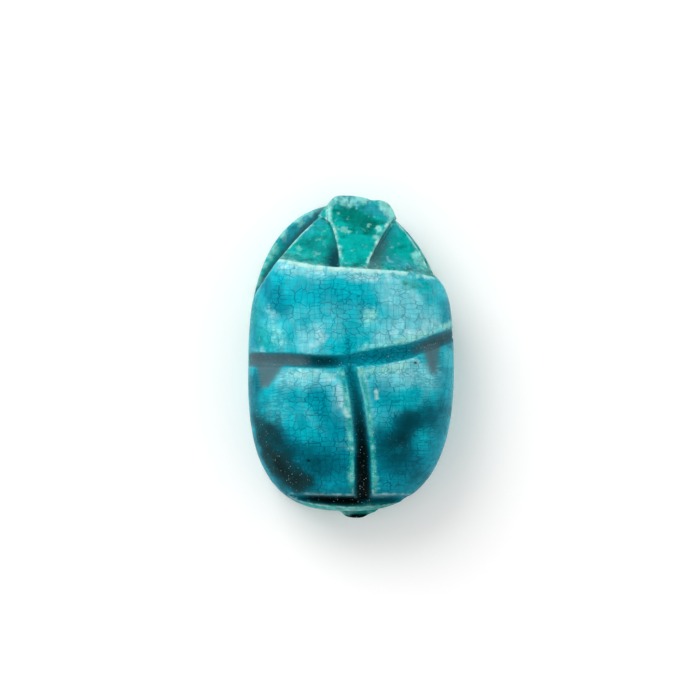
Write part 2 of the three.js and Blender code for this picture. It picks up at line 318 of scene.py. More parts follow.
def planTrim(x, y):
    left, plate, shoulder = (np.hypot(x - centre[0], y - centre[1]) - radius
                             for centre, radius in (circles[-1], rightPlate, rightShoulder))
    below, _, above = (along * halfLong for _, along in body["rightShoulder"])
    right = np.minimum(np.minimum(plate, np.maximum(shoulder, y - above)), y - below)
    flanks = np.maximum(np.maximum(left, right), y - 0.9 * halfLong)
    if np.ndim(x) > 1:
        return np.minimum(flanks, polygonDistance(x, y, headOutline))
    trim, near = flanks.copy(), y > 0.65 * halfLong
    trim[near] = np.minimum(flanks[near], polygonDistance(x[near], y[near], headOutline))
    return trim


def besideHead(x, y):                  # below zero on the head, seen from above
    return 0.86 * np.maximum(leftRidge(y) - x, x - rightRidge(y))


def backHeight(x, y):
    share = np.minimum(ovalShare(body, x, y)[0], 1)
    return body["belly"] + (top - body["belly"]) * (1 - share ** body["planPower"]) ** body["risePower"]


def frontHeight(x, y):
    wall = headFlat(x, y) - np.maximum(besideHead(x, y), 0) / head["wallLean"]
    for side, at, fall in zip((-1, 1), head["lobes"], head["lobeFall"]):
        beyond = np.maximum(side * (x - at * halfWide), 0)
        wall = wall - fall * beyond * ease((y - head["lobeStart"] * halfLong) / 0.6)
    plates = np.where(x < 0.02 * halfWide, leftFlat(x, y), rightFlat(x, y))
    plates = plates - head["plateFall"] * ease(-head["plateLap"] - besideHead(x, y))
    edge = stepEdge(x) + head["chipping"] * (noise(x, 0 * x, 0 * x, 0.6) - 0.5)
    step = backHeight(x, edge) - (y - edge) / head["stepLean"]
    return smoothMax(smoothMax(wall, plates, head["flatSoftness"]), step, head["stepSoftness"])


def frontField(x, y, z):
    near, nudge = y > 0.4 * halfLong, 0.02
    height = frontHeight(x, y)
    slopeX = (frontHeight(x + nudge, y) - height) / nudge
    slopeY = (frontHeight(x, y + nudge) - height) / nudge
    return np.where(near, (z - height) / np.sqrt(1 + slopeX**2 + slopeY**2), -9.0)


def grooveProfile(distance, width):
    share = 2 * distance / np.maximum(grooves["spread"] * width, 1e-3)
    return clipped(1 - share**2) ** grooves["bluntness"]


def crossCut(x, y):
    width = np.interp(x / halfWide, *zip(*grooves["crossWidth"]))
    return grooveProfile((y - crossLine(x)) * 0.99, width)


def wingShare(y):                      # 0 at the wing groove's front end, 1 at its back end
    start, end = toPlan(grooves["wing"])[[0, -1], 1]
    return clipped((start - y) / (start - end))


def wingWidth(y):
    front, back = grooves["wingWidth"]
    return front + (back - front) * wingShare(y)


def wingCut(x, y):
    t, end = wingShare(y), grooves["wing"][-1][1] * halfLong
    depth = ease(6 * t) * (0.6 + 0.4 * t) * ease((y - end + 0.5) / 0.4)
    return grooveProfile(x - wingLine(y), wingWidth(y)) * depth


def tailCut(x, y):
    start, end = toPlan(grooves["tail"])[[0, -1], 0]
    along = 2 * (x - start) / (end - start) - 1
    lens = np.sqrt(np.maximum(0, 1 - along**2))
    return grooveProfile(y - tailLine(x), grooves["tailWidth"] * lens) * lens


def wedgeCut(x, y):
    return sum(before(polygonDistance(x, y, corners), 0.605, 1.1) for corners in wedgeCorners)


def mouthCut(x, y):
    growth = past(y, halfLong - head["notchReach"], head["notchReach"])
    width = head["notchWidth"] * np.maximum(growth, 0.01)
    return sum(clipped(1 - 2 * np.abs(x - at * halfWide) / width) for at in head["notches"]) * growth


def carvedDepth(x, y):
    lines = grooves["crossDepth"] * crossCut(x, y)
    lines = smoothMax(lines, grooves["wingDepth"] * wingCut(x, y), grooves["meeting"])
    lines = smoothMax(lines, grooves["tailDepth"] * tailCut(x, y), grooves["meeting"])
    return lines + grooves["wedgeDepth"] * wedgeCut(x, y)


def rimField(x, y, z):
    share, reach = ovalShare(rim, x, y)
    soft, half = rim["rounding"], rim["height"] / 2
    out = (share - 1) * reach + soft
    up = np.abs(z - half) - half + soft
    return np.hypot(np.maximum(out, 0), np.maximum(up, 0)) + np.minimum(np.maximum(out, up), 0) - soft


def legField(x, y, z):
    radius = legs["thickness"] / 2
    hipZ, footZ = body["belly"] - radius / 2, rim["height"] + radius / 2
    nearest = 9.0
    for side in (-1, 1):
        for hip, foot in legs["runs"]:
            t = clipped((y / halfLong - hip) / (foot - hip))
            along = (hip + (foot - hip) * t) * halfLong
            out = side * (sideReach(side, along) - 0.5 * body["neckDepth"])
            up = hipZ + (footZ - hipZ) * t**0.7
            hatch = np.maximum(0, np.sin(2 * np.pi * legs["hatching"] * t)) ** 6
            size = radius * (1 - t / 3) - legs["hatchDepth"] * hatch
            distance = np.sqrt((x - out) ** 2 + (y - along) ** 2 + (z - up) ** 2) - size
            nearest = np.minimum(nearest, distance)
    return nearest


def burrField(x, y, z):
    deep = burr["height"] / 2
    middle = hole["height"] - hole["diameter"] / 2 - burr["height"] / 4
    sizes = (burr["width"] / 2, deep, deep)
    offsets = (x - hole["across"] * halfWide, y + halfLong - deep - burr["setBack"], z - middle)
    outer = np.sqrt(sum((o / s) ** 2 for o, s in zip(offsets, sizes)))
    inner = np.sqrt(sum((o / s**2) ** 2 for o, s in zip(offsets, sizes)))
    return outer * (outer - 1) / np.maximum(inner, 1e-3) + burr["roughness"] * (noise(x, y, z, 1.0) - 0.6)


def holeField(x, y, z):
    depth = hole["flareDepth"]
    flare = hole["flare"] * past(np.abs(y), halfLong - depth, 0.7 * depth)
    return np.hypot(x - hole["across"] * halfWide, z - hole["height"]) - hole["diameter"] / 2 - flare


def undersideDepth(x, y):
    share, reach = ovalShare(rim, x, y)
    nearest = np.abs(share - underside["border"]) * reach
    draw = np.random.default_rng(underside["seed"])
    for row in underside["rows"]:
        middle = row * halfLong
        reachHere = underside["reach"] * halfWide * math.sqrt(1 - row**2)
        count = int(2 * reachHere / underside["spacing"])
        for i in range(count + 1):
            at = (i - count / 2) * underside["spacing"]
            lean = draw.choice(underside["leans"])
            half = draw.uniform(*underside["halfLengths"])
            ends = ((at - lean * half, middle - half), (at + lean * half, middle + half))
            if max(ovalShare(rim, *end)[0] for end in ends) < underside["border"] - underside["margin"]:
                nearest = np.minimum(nearest, segmentDistance(x, y, *ends))
    return underside["strokeDepth"] * ease(1.15 - 2 * nearest / underside["strokeWidth"])


def solidField(x, y, z, handmade=False):
    trim = planTrim(x, y) + body["neckTrim"] * neckInset(z)
    beetle = smoothMax(backField(x, y, z), trim, body["trimSoftness"])
    front = frontField(x, y, z) + head["notchDepth"] * mouthCut(x, y)
    beetle = smoothMax(beetle, front, body["edgeSoftness"])
    beetle = beetle + carvedDepth(x, y) * past(z, *grooves["fadeIn"])
    beetle = np.maximum(beetle, body["foot"] - z)
    solid = smoothMin(beetle, rimField(x, y, z), rim["fillet"])
    solid = smoothMin(solid, legField(x, y, z), legs["fillet"])
    solid = smoothMin(solid, burrField(x, y, z), burr["fillet"])
    solid = smoothMax(solid, -holeField(x, y, z), hole["edge"])
    solid = solid + undersideDepth(x, y) * before(z, 0.6, 0.3)
    if handmade:
        lumps = sum(share * noise(x, y, z, size) for share, size in surface["lumps"])
        solid = solid + surface["unevenness"] * lumps * past(z, 0.3, 0.6)
    return solid


def fieldSlope(points, nudge=0.02):
    slope = np.empty_like(points)
    for axis in range(3):
        ahead, behind = points.copy(), points.copy()
        ahead[:, axis] += nudge
        behind[:, axis] -= nudge
        slope[:, axis] = (solidField(*ahead.T, True) - solidField(*behind.T, True)) / (2 * nudge)
    return slope


# Turns the field into a skin of quads: one point in each grid cell that the surface passes through
def skinOf(step):
    lows = np.array((-halfWide, -halfLong, 0)) - 2.5 * step
    counts = [int(math.ceil((size + 5 * step) / step)) + 1 for size in (2 * halfWide, 2 * halfLong, top)]
    axes = [start + step * np.arange(count) for start, count in zip(lows, counts)]
    x, y, z = np.meshgrid(*axes, indexing="ij", sparse=True)
    values = solidField(x, y, z)
    inside = values < 0
    cells = [c - 1 for c in counts]
    corners = [inside[i:i + cells[0], j:j + cells[1], k:k + cells[2]] for i, j, k in np.ndindex(2, 2, 2)]
    filled = sum(c.astype(np.int8) for c in corners)
    at = np.argwhere((filled > 0) & (filled < 8))
    number = np.full(cells, -1)
    number[tuple(at.T)] = np.arange(len(at))
    total, hits = np.zeros((len(at), 3)), np.zeros((len(at), 1))
    for axis in range(3):
        for first, second in np.ndindex(2, 2):
            start = np.insert(np.array((first, second)), axis, 0)
            end = np.insert(np.array((first, second)), axis, 1)
            a, b = values[tuple((at + start).T)], values[tuple((at + end).T)]
            cut = (a < 0) != (b < 0)
            share = np.where(cut, a / np.where(cut, a - b, 1), 0)
            total += cut[:, None] * (start + share[:, None] * (end - start))
            hits += cut[:, None]
    points = lows + step * (at + total / hits)
    quads = []
    for axis in range(3):
        ahead = [slice(None)] * 3
        ahead[axis] = slice(1, None)
        behind = [slice(None)] * 3
        behind[axis] = slice(None, -1)
        change = inside[tuple(behind)].astype(np.int8) - inside[tuple(ahead)].astype(np.int8)
        edges = np.argwhere(change != 0)
        outward = change[tuple(edges.T)] > 0
        u, v = np.eye(3, dtype=int)[[(axis + 1) % 3, (axis + 2) % 3]]
        ring = np.stack([number[tuple((edges - back).T)] for back in (0 * u, u, u + v, v)], axis=1)
        quads.append(np.where(outward[:, None], ring, ring[:, ::-1]))
    return points, np.vstack(quads)


def fitToSurface(points, step):
    for _ in range(3):
        slope = fieldSlope(points)
        size = np.maximum((slope**2).sum(1), 0.2)
        move = -(solidField(*points.T, True) / size)[:, None] * slope
        far = np.linalg.norm(move, axis=1, keepdims=True)
        points = points + move * np.minimum(1, 0.4 * step / np.maximum(far, 1e-9))
    return points


points, quads = skinOf(surface["step"])
points = fitToSurface(points, surface["step"])
print("skin made:", len(points), "points,", len(quads), "faces")


def bend(points, reach):               # above zero on edges that stand out, below zero in hollows
    around = -6 * solidField(*points.T)
    for axis in range(3):
        for way in (-reach, reach):
            moved = points.copy()
            moved[:, axis] += way
            around = around + solidField(*moved.T)
    return around / reach**2


def spot(points, start, end, radius):  # a stain with a ragged, soft edge between two places on the plan
    x, y, z = points.T
    ends = toPlan((start, end))
    ragged = 0.32 * radius * (noise(x, y, z, 0.9) + noise(x, y, z, 2.2) - 1)
    return ease(1 - (segmentDistance(x, y, *ends) + ragged) / radius)


# Stains on the plan: colour, from, to, radius in millimetres and strength
stains = (
    ("light", (0.4, 0.44), (0.62, 0.24), 2.8, 0.9),
    ("light", (-0.13, -0.2), (-0.05, -0.56), 1.4, 0.9),
    ("light", (0.1, -0.12), (0.16, -0.45), 1.1, 0.9),
    ("light", (0.35, 0.14), (0.72, 0.23), 2.2, 0.9),
    ("light", (-0.43, 0.1), (-0.33, 0.17), 1.9, 0.9),
    ("light", (-0.62, -0.13), (-0.25, -0.14), 1.9, 0.8),
    ("light", (0.33, -0.1), (0.82, -0.12), 2.3, 0.9),
    ("light", (-0.76, 0.27), (-0.74, 0.25), 1.0, 0.6),
    ("light", (-0.66, 0.55), (0.4, 0.48), 1.3, 0.9),
    ("deep", (-0.5, 0.42), (0.12, 0.32), 2.4, 0.5),
    ("deep", (-0.88, 0.46), (-0.7, 0.32), 2.2, 0.9),
    ("deep", (0.04, 0.24), (0.0, 0.1), 1.5, 0.3),
    ("deep", (0.95, 0.32), (0.97, 0.08), 1.3, 0.9),
    ("deep", (-0.03, 0.1), (-0.025, 0.0), 0.4, 0.9),
    ("deep", (-0.32, -0.25), (-0.15, -0.5), 2.4, 0.9),
    ("deep", (0.28, -0.2), (0.4, -0.42), 2.1, 0.6),
    ("deep", (-0.9, 0.3), (-0.84, 0.26), 1.2, 0.6),
    ("deep", (-0.56, -0.24), (-0.45, -0.4), 1.6, 0.6),
    ("deep", (-0.95, 0.34), (-0.93, 0.1), 1.3, 0.8),
    ("deep", (0.92, -0.1), (0.85, -0.6), 2.0, 0.8),
    ("deep", (-0.96, 0.1), (-0.9, -0.3), 1.0, 0.5),
    # the low stains darken the back half towards the tail: partly the glaze's own colour, partly painted
    # shade
    ("low", (-0.8, -0.5), (-0.3, -0.66), 3.0, 0.8),
    ("low", (-0.35, -0.6), (-0.08, -0.68), 2.6, 0.5),
    ("low", (0.3, -0.6), (0.55, -0.68), 2.6, 0.75),
    ("low", (-0.93, -0.15), (-0.9, -0.4), 1.6, 0.7),
    ("low", (-0.6, -0.72), (-0.38, -0.6), 2.4, 0.8),
    ("low", (0.36, -0.5), (0.78, -0.34), 2.9, 0.9),
    ("green", (0.52, 0.46), (0.72, 0.42), 1.0, 0.5),
    ("green", (-0.86, 0.16), (-0.8, 0.06), 1.3, 0.5),
    ("green", (-0.9, 0.36), (-0.94, 0.2), 1.2, 0.4),
    ("darkGreen", (-0.05, 0.91), (0.17, 0.82), 2.3, 1.0),
    ("darkGreen", (-0.16, 0.96), (-0.12, 0.93), 0.6, 0.6),
    ("darkGreen", (0.54, 0.45), (0.7, 0.43), 0.7, 0.4),
    ("pale", (0.17, 0.24), (0.19, 0.25), 1.3, 0.9),
    ("pale", (-0.79, 0.29), (-0.73, 0.25), 0.8, 0.4),
    ("pale", (-0.76, 0.19), (-0.68, 0.1), 1.3, 0.45),
    ("pale", (0.3, 0.95), (0.41, 0.875), 1.0, 1.0),
    ("pale", (-0.14, 0.97), (0.0, 0.955), 0.9, 0.6),
    ("pale", (-0.6, 0.575), (-0.35, 0.545), 0.6, 0.7),
    ("pale", (-0.21, 0.95), (-0.212, 0.85), 0.5, 0.9),
    ("pale", (0.08, 0.985), (0.12, 0.965), 0.7, 1.0),
    ("pale", (0.26, 0.795), (0.27, 0.785), 0.45, 1.0),
    ("pale", (0.23, 0.74), (0.26, 0.73), 0.4, 0.8),
    ("pale", (0.62, 0.63), (0.7, 0.57), 0.7, 0.6),
    ("edge", (0.235, -0.205), (0.245, -0.255), 0.3, 0.6),
    ("edge", (-0.085, -0.3), (-0.03, -0.36), 0.3, 0.6),
    ("thin", (0.44, 0.1), (0.78, 0.18), 1.4, 0.9),
    ("thin", (0.38, -0.06), (0.6, -0.05), 1.3, 0.9),
    ("thin", (-0.62, 0.56), (-0.3, 0.53), 1.1, 0.9),
    ("thin", (-0.1, 0.5), (0.35, 0.48), 0.7, 0.7),
    ("thin", (-0.4, 0.05), (-0.28, 0.12), 1.2, 0.7),
    ("thin", (-0.9, 0.04), (-0.84, 0.02), 0.8, 0.8),
    ("thin", (-0.5, -0.1), (-0.2, -0.12), 1.0, 0.7),
    ("thin", (-0.76, 0.27), (-0.74, 0.25), 0.9, 0.6),
    ("thin", (-0.12, -0.22), (-0.05, -0.48), 0.9, 0.9),
    ("pool", (0.42, -0.54), (0.57, -0.4), 2.5, 0.8),
    ("pool", (-0.86, -0.48), (-0.5, -0.76), 3.1, 0.85),
    ("pool", (-0.42, 0.7), (-0.2, 0.64), 1.9, 0.4),
    ("soot", (-0.9, -0.4), (-0.78, -0.56), 3.0, 0.5),
    ("soot", (-0.8, -0.58), (-0.56, -0.75), 2.4, 0.75),
    ("pool", (-0.5, -0.72), (-0.36, -0.66), 2.2, 0.5),
    ("black", (-0.72, -0.65), (-0.57, -0.75), 1.3, 0.5),
    ("black", (0.4, -0.53), (0.5, -0.5), 1.4, 0.35),
    ("blue", (-0.14, 0.97), (0.12, 0.97), 1.2, 0.7),
    ("blue", (0.2, 0.93), (0.36, 0.89), 1.4, 0.8),
    ("blue", (-0.48, 0.76), (-0.3, 0.85), 1.3, 0.55),
    ("blue", (0.36, 0.6), (0.62, 0.54), 1.0, 0.6),
    ("blue", (0.3, 0.7), (0.42, 0.8), 1.1, 0.5),
    ("black", (-0.41, -0.633), (-0.405, -0.634), 0.3, 1.0),
    ("low", (0.07, 0.374), (0.072, 0.372), 0.3, 1.2),
    ("soot", (0.615, -0.034), (0.617, -0.035), 0.25, 1.0),
)


# How strong pools, haze and wear are along each line: pairs of a place across or along it and a share
wear = {
    "crossPool": ((-1, 0.7), (-0.5, 0.75), (-0.3, 0.85), (-0.15, 0.75), (-0.04, 0.35), (0.5, 0.42),
                  (0.75, 0.7), (1, 0.75)),
    "crossHaze": ((-1, 1), (-0.5, 0.9), (-0.35, 0), (0.5, 0), (0.7, 0.6), (1, 0.4)),
    "wingPool": ((-0.3, 1), (-0.15, 0.85), (0.0, 0.7), (0.1, 0.4)),
    "tailPool": ((-0.6, 0.9), (-0.2, 1), (0.15, 0.75), (0.6, 0.7)),
    "stepLip": ((-0.72, 0.4), (-0.6, 1), (0.3, 1), (0.6, 0.45)),
    "edges": ((-0.82, 0.6), (-0.78, 0.12), (0.4, 0.12), (0.45, 0.9), (0.8, 0.7), (0.86, 0.3)),
    "stripPool": (0.6, 0.25),        # on the rim beside the head, left and right
    "edgeReach": 0.16,               # millimetres round a point that tell an edge from a hollow
}


def worn(name, place):
    return np.interp(place, *zip(*wear[name]))


def readPlaces(points):                # what each point lies on or beside, for the paint functions
    x, y, z = points.T
    p = SimpleNamespace(x=x, y=y, z=z, across=x / halfWide, along=y / halfLong)
    p.above, p.onRim = past(z, 3.0, 1.2), 1 - past(z, 2.2, 0.5)
    p.blotch, p.broken = noise(x, y, z, 1.7), noise(x, y, z, 0.45)
    p.cross, p.wing, p.wedge = (cut(x, y) * p.above for cut in (crossCut, wingCut, wedgeCut))
    p.tail = tailCut(x, y) * past(z, 4, 0.5)
    p.fromWing = np.abs(x - wingLine(y)) - 0.45 * wingWidth(y)
    p.beside, p.ahead = besideHead(x, y), y - stepEdge(x)
    p.carved = past(-backField(x, y, z), 0.04, 0.1) * past(p.ahead, 0, 0.1) * p.above
    p.onHead = p.carved * before(p.beside, 0.1, 0.2)
    p.curve = bend(points, wear["edgeReach"])
    return p


def paintStains(add, p, points):
    dark = ("pool", "soot", "black")
    inside = 0.35 + 0.65 * before(ovalShare(body, p.x, p.y)[0], 0.99, 0.05)   # dark stains fade at the side
    for name, start, end, radius, strength in stains:
        add(name, strength * spot(points, start, end, radius) * p.above * (inside if name in dark else 1))


def paintRim(add, p):
    outer = past(ovalShare(rim, p.x, p.y)[0], 0.9, 0.08)
    add("green", p.onRim * (0.5 + 0.4 * past(p.along, -0.2, 0.4)))
    add("blue", 0.8 * p.onRim * past(p.blotch, 0.3, 0.3) * past(p.along, 0.45, 0.3))
    add("pale", 0.6 * p.onRim * outer * past(p.broken, 0.2, 0.5) * past(p.along, 0.1, 0.3))
    strip = np.where(p.across < 0, *wear["stripPool"]) * before(planTrim(p.x, p.y), 0.72, 0.6)
    strip = strip * past(p.along, 0.2, 0.3) * p.onRim
    add("pool", strip * past(p.z, 1.5, 0.4))
    add("haze", 0.7 * strip)
    crescent = before(p.along, -0.905, 0.02) * before(np.abs(p.across + 0.1), 0.5, 0.4)
    crescent = crescent * np.maximum(p.onRim, past(p.z, 3.8, 0.5))
    add("green", before(p.along, -0.88, 0.03))
    add("pale", 0.45 * crescent * (0.4 + p.blotch))
    add("grit", 0.5 * crescent)
    fromTip = np.hypot((p.x - hole["across"] * halfWide) / (1.4 * burr["width"]), (p.z - 2) / burr["height"])
    onTip = ease(1.3 - 2.2 * fromTip + 0.9 * (p.broken - 0.5))
    add("black", onTip * before(p.y, 0.6 - halfLong, 0.4))


def paintHead(add, p):
    ridged = band(p.beside, -0.12, 0.15) * before(p.along, 0.9, 0.04) * p.carved
    add("green", p.carved)
    add("pale", ridged * p.broken)
    add("edge", 0.7 * ridged * past(p.broken, 0.4, 0.3))
    # Each plate is painted darker in its corner beside the head's wall, more widely towards the step
    nearStep = before(p.along, 0.76, 0.18)
    corner = ease(1.1 - p.beside / (0.6 + 1.5 * nearStep)) * (0.35 + 0.6 * nearStep)
    corner = corner * p.carved * (1 - p.onHead)
    add("pool", corner * np.where(p.across < 0, 1, 0.6))
    add("haze", 0.75 * corner * (p.across > 0), 0.15 * corner)
    lipWidth = 0.05 + 0.3 * past(p.blotch, 0.3, 0.35)
    lip = band(p.ahead, -0.12, lipWidth) * before(np.abs(p.across), 0.85, 0.1) * p.above
    lip = lip * worn("stepLip", p.across)
    add("edge", lip * (0.25 + 0.8 * p.broken))
    add("pale", lip * (0.25 + p.broken))
    onStep = p.carved * before(p.ahead, 1.1, 0.7)
    add("pool", 0.55 * onStep * (0.2 + p.broken))
    add("grit", onStep, 0.3 * corner, 0.8 * p.onHead * before(np.abs(p.beside), 0.5, 0.5))


def paintGrooves(add, p):
    fromCross = p.y - crossLine(p.x)
    add("deep", p.cross, p.wing, 0.7 * band(fromCross, 0, 0.8) * (p.across > 0) * p.above)
    under = band(fromCross, -1.2, 0.5) * before(np.abs(p.across), 0.75, 0.3)
    over = band(fromCross, 1.05, 0.4) * past(p.across, 0, 0.15)
    add("pale", 0.7 * under * (0.4 + p.blotch) * p.above, 0.75 * over * (0.4 + p.blotch) * p.above)
    behindCross = before(p.along, 0.02, 0.1)
    bands = band(p.fromWing, 0.3, 0.16 + 0.34 * p.blotch) * behindCross * p.above
    bands = bands * past(p.along, -0.86, 0.05)
    add("green", 0.75 * bands)
    add("pale", 0.75 * bands * p.blotch * (0.4 + p.broken))
    add("thin", 0.9 * band(p.fromWing, 0.6, 0.35) * behindCross * p.blotch * p.above)
    add("pool", p.cross * worn("crossPool", p.across), p.wing * worn("wingPool", p.along))
    add("pool", 0.6 * p.wedge, 1.2 * p.tail * worn("tailPool", p.across))
    add("haze", 0.9 * p.cross * worn("crossHaze", p.across), p.wedge)
    tailBrow = band(p.y - tailLine(p.x), 0.38, 0.2) * before(np.abs(p.across), 0.6, 0.3)
    add("haze", 0.5 * tailBrow * past(p.z, 4, 0.5))
    add("black", p.wing * before(p.along, -0.2, 0.35), p.tail * before(np.abs(p.across + 0.17), 0.42, 0.25))
    add("black", 0.4 * p.cross * before(np.abs(p.across + 0.22), 0.2, 0.2))
    add("grit", bands, p.tail, 0.6 * p.cross)


def paintBody(add, p):
    add("edge", past(p.curve, 1.2, 2.2) * p.above * (0.3 + 0.7 * p.broken) * worn("edges", p.along))
    hollow = before(p.curve, -0.8, 2.2)
    add("pool", 0.5 * hollow * p.above, 0.8 * hollow * p.onRim)
    # Deeper and darker towards the tail: partly the glaze's own colour, partly painted shade
    add("deep", before(p.along + 0.16 * (p.blotch - 0.5), -0.3, 0.4))
    add("pool", 0.4 * before(p.along + 0.2 * (p.blotch - 0.5), -0.72, 0.12))
    # Painted shade darkens the recess under the back, and the legs in it get a painted highlight, so that
    # they stand out
    onLeg = before(legField(p.x, p.y, p.z), 0.2, 0.12) * past(p.z, 2.1, 0.2) * before(p.z, 4.4, 0.6)
    recessShade = before(p.z, 4.2, 1.2) * past(p.z, 1.9, 0.2) * past(np.abs(p.across), 0.25, 0.2)
    add("pool", 0.8 * recessShade * (1 - onLeg))
    add("light", 0.8 * onLeg)
    insideHole = before(np.abs(holeField(p.x, p.y, p.z)), 0.15, 0.15)
    insideHole = insideHole * before(np.abs(p.y), 0.87 * halfLong, 0.9)
    add("pool", insideHole)
    add("black", 0.85 * insideHole)
    add("lined", past(np.abs(p.across), 0.5, 0.2) * before(p.along, 0.1, 0.1))


def glazeMasks(points):
    names = [stain[0] for stain in stains] + ["haze", "grit", "lined"]
    masks = {name: np.zeros(len(points)) for name in names}
    p = readPlaces(points)

    def add(name, *values):
        for value in values:
            masks[name] = np.maximum(masks[name], value)

    paintStains(add, p, points)
    masks["pale"] *= np.where(p.along > 0.55, p.carved, 1)
    masks["blue"] *= p.carved
    for name in ("light", "thin"):
        masks[name] *= 1 - p.carved
    for paint in (paintRim, paintHead, paintGrooves, paintBody):
        paint(add, p)
    add("grit", 0.8 * masks["black"], masks["soot"])
    for name in ("light", "thin", "green", "pale", "edge"):
        masks[name] *= 1 - clipped(1.6 * np.maximum(p.cross, p.wing))
    return masks


masks = glazeMasks(points)
slope = fieldSlope(points)
facing = slope[:, 2] / np.linalg.norm(slope, axis=1)
masks["steep"] = ease((0.8 - facing) / 0.3)


def makeMesh(name, points, quads):
    mesh = bpy.data.meshes.new(name)
    mesh.from_pydata((points * mm).tolist(), [], quads.tolist())
    mesh.polygons.foreach_set("use_smooth", np.ones(len(quads), bool))
    mesh.update()
    piece = bpy.data.objects.new(name, mesh)
    bpy.context.scene.collection.objects.link(piece)
    return piece


amulet = makeMesh("scarab_amulet", points, quads)
for name, values in masks.items():
    layer = amulet.data.attributes.new(name, "FLOAT", "POINT")
    layer.data.foreach_set("value", values.astype(np.float32))
print("mesh and glaze masks ready")

# Colours are as seen on screen, from 0 to 255
glaze = {
    "turquoise": (6, 168, 182),
    "light": (108, 194, 204),
    "thin": (164, 212, 218),         # where the pale body shows through thin glaze
    "deep": (0, 134, 153),
    "low": (0, 88, 104),
    "green": (4, 158, 152),
    "blue": (44, 138, 158),
    "darkGreen": (0, 92, 80),
    "pale": (134, 206, 198),
    "edge": (176, 214, 208),
    # pooled glaze in grooves and hollows, also used as painted shade in the recess under the back and
    # towards the tail
    "pool": (0, 58, 68),
    "haze": (80, 105, 112),
    "soot": (22, 46, 46),
    "black": (0, 3, 3),
    "crackLine": (0, 86, 110),
    "crackShade": (0, 34, 46),       # cracks in the deeper glaze
    "speck": (200, 228, 220),
    "speckSpacing": 0.17,
    "crackSpacing": 0.55,            # millimetres
    "crackLength": 1.25,
    "crackWidth": 0.026,
    "crackWander": 0.45,
    "roughness": (0.22, 0.55),
    "gloss": 0.06,
    "glossTint": (90, 225, 235),
    "relief": 0.05,                  # millimetres
}


def linear(colour):
    shares = [c / 255 for c in colour]
    return (*[s / 12.92 if s <= 0.04045 else ((s + 0.055) / 1.055) ** 2.4 for s in shares], 1)


class Nodes:                           # short calls for the nodes that the glaze needs
    def __init__(self, name):
        self.material = bpy.data.materials.new(name)
        self.material.use_nodes = True
        self.tree = self.material.node_tree
        self.shader = self.tree.nodes["Principled BSDF"]

    def link(self, source, socket):
        if isinstance(source, bpy.types.NodeSocket):
            self.tree.links.new(source, socket)
        else:
            socket.default_value = source

    def make(self, kind, inputs=(), **settings):
        node = self.tree.nodes.new("ShaderNode" + kind)
        for key, value in settings.items():
            setattr(node, key, value)
        for key, value in dict(inputs).items():
            self.link(value, node.inputs[key])
        return node

    def math(self, operation, a, b=0.0, limit=False):
        return self.make("Math", {0: a, 1: b}, operation=operation, use_clamp=limit).outputs[0]

    def mask(self, name):
        return self.make("Attribute", attribute_name=name).outputs["Fac"]

    def ramp(self, value, start, end, low=0.0, high=1.0):
        inputs = {0: value, 1: start, 2: end, 3: low, 4: high}
        return self.make("MapRange", inputs, interpolation_type="SMOOTHSTEP").outputs[0]

    def mix(self, share, a, b, blend="MIX"):
        node = self.make("Mix", data_type="RGBA", blend_type=blend)
        for index, value in zip((0, 6, 7), (share, a, b)):
            self.link(value, node.inputs[index])
        return node.outputs[2]

    def noise(self, place, size, detail=3.0, seed=0.0):
        offset = self.make("VectorMath", {0: place, 1: (seed, seed, seed)}, operation="ADD").outputs[0]
        inputs = {"Vector": offset, "Scale": 1 / size, "Detail": detail}
        return self.make("TexNoise", inputs).outputs["Fac"]


